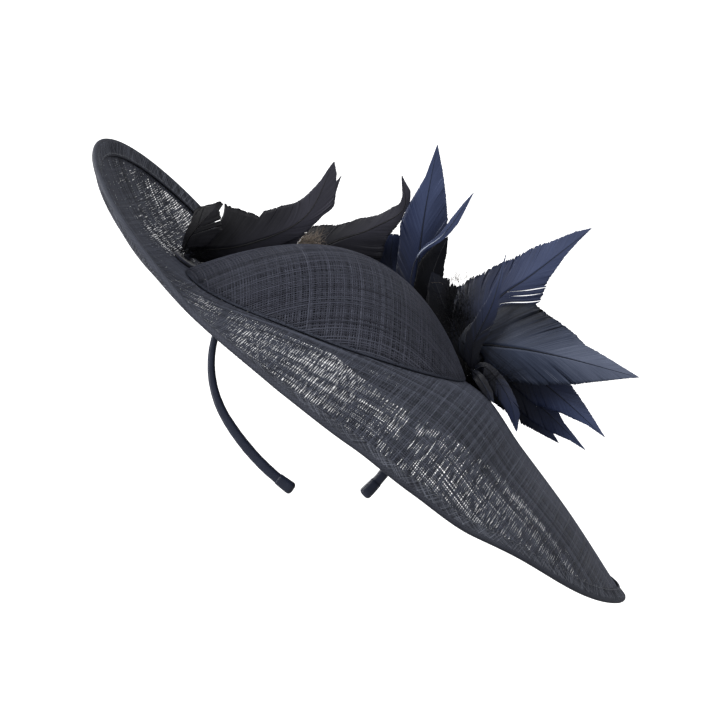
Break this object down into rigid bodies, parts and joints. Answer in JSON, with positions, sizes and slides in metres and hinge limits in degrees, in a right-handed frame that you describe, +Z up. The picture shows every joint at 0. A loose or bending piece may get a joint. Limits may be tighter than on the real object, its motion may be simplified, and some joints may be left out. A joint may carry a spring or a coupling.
{
  "type": "fascinator headpiece",
  "caption": "Saucer fascinator with a swooping sinamay brim, a low blocked crown, trimmed feathers and a sprung satin headband.",
  "frame": {"origin": "the head seat: the middle of the headband's inner face, where the band rests on the top of the head", "axes": "+X to the wearer's left, +Y to the back of the head, +Z up"},
  "size_m": [0.345, 0.4152, 0.2949],
  "materials": {
    "navy_sinamay": "open plain weave of stiffened abaca, two plies, slightly glossy",
    "crown_sinamay": "finer, denser blocked sinamay, slightly glossy",
    "bias_sinamay": "bias strip of sinamay, folded and stitched",
    "spring_steel": "cold-drawn spring steel",
    "ribbon": "woven ribbon",
    "navy_satin": "satin ribbon cover, soft sheen",
    "navy_felt": "pressed wool felt",
    "thread": "wound waxed thread",
    "navy_feather": "dyed goose feather with a satin sheen",
    "brown_feather": "dyed brown-black feather, soft sheen"
  },
  "bodies": {
    "headpiece": {"brim_top_ply": "navy_sinamay", "brim_under_ply": "navy_sinamay", "rim_binding": "bias_sinamay", "rim_wire": "spring_steel", "crown_top_ply": "crown_sinamay", "crown_under_ply": "crown_sinamay", "seam_ribbon": "ribbon", "feather_pad_left": "navy_felt", "feather_whipping_left": "thread", "feather_pad_rear_left": "navy_felt", "feather_whipping_rear_left": "thread", "feather_pad_rear_right": "navy_felt", "feather_whipping_rear_right": "thread", "feather_pad_right": "navy_felt", "feather_whipping_right": "thread", "headband_core_arch": "spring_steel", "headband_sleeve_arch": "navy_satin", "headband_keeper_left": "navy_satin", "headband_keeper_right": "navy_satin", "feather_left_long": "brown_feather", "feather_left_back": "brown_feather", "feather_left_short": "brown_feather", "feather_rear_left_long": "brown_feather", "feather_rear_left_short": "brown_feather", "feather_rear_right_tall": "navy_feather", "feather_rear_right_blade": "navy_feather", "feather_rear_right_dark": "brown_feather", "feather_rear_right_round": "navy_feather", "feather_rear_right_low": "brown_feather", "feather_right_high": "navy_feather", "feather_right_spike": "brown_feather", "feather_right_large": "navy_feather", "feather_right_low": "navy_feather", "feather_right_lower": "navy_feather", "feather_right_under": "navy_feather", "feather_right_curl": "navy_feather", "feather_right_base": "brown_feather", "feather_right_sliver": "navy_feather"},
    "left_leg": {"headband_core_left": "spring_steel", "headband_sleeve_left": "navy_satin", "headband_tip_left": "navy_satin"},
    "right_leg": {"headband_core_right": "spring_steel", "headband_sleeve_right": "navy_satin", "headband_tip_right": "navy_satin"}
  },
  "joints": [
    {"name": "left_leg_flex", "type": "hinge", "parent": "headpiece", "child": "left_leg", "pos_m": [-0.06118, 0, -0.03571], "axis": [0, 1, 0], "range_deg": [0, 20], "stiffness_Nm_per_rad": 0.75},
    {"name": "right_leg_flex", "type": "hinge", "parent": "headpiece", "child": "right_leg", "pos_m": [0.06783, 0, -0.07164], "axis": [0, -1, 0], "range_deg": [0, 25], "stiffness_Nm_per_rad": 0.75}
  ]
}
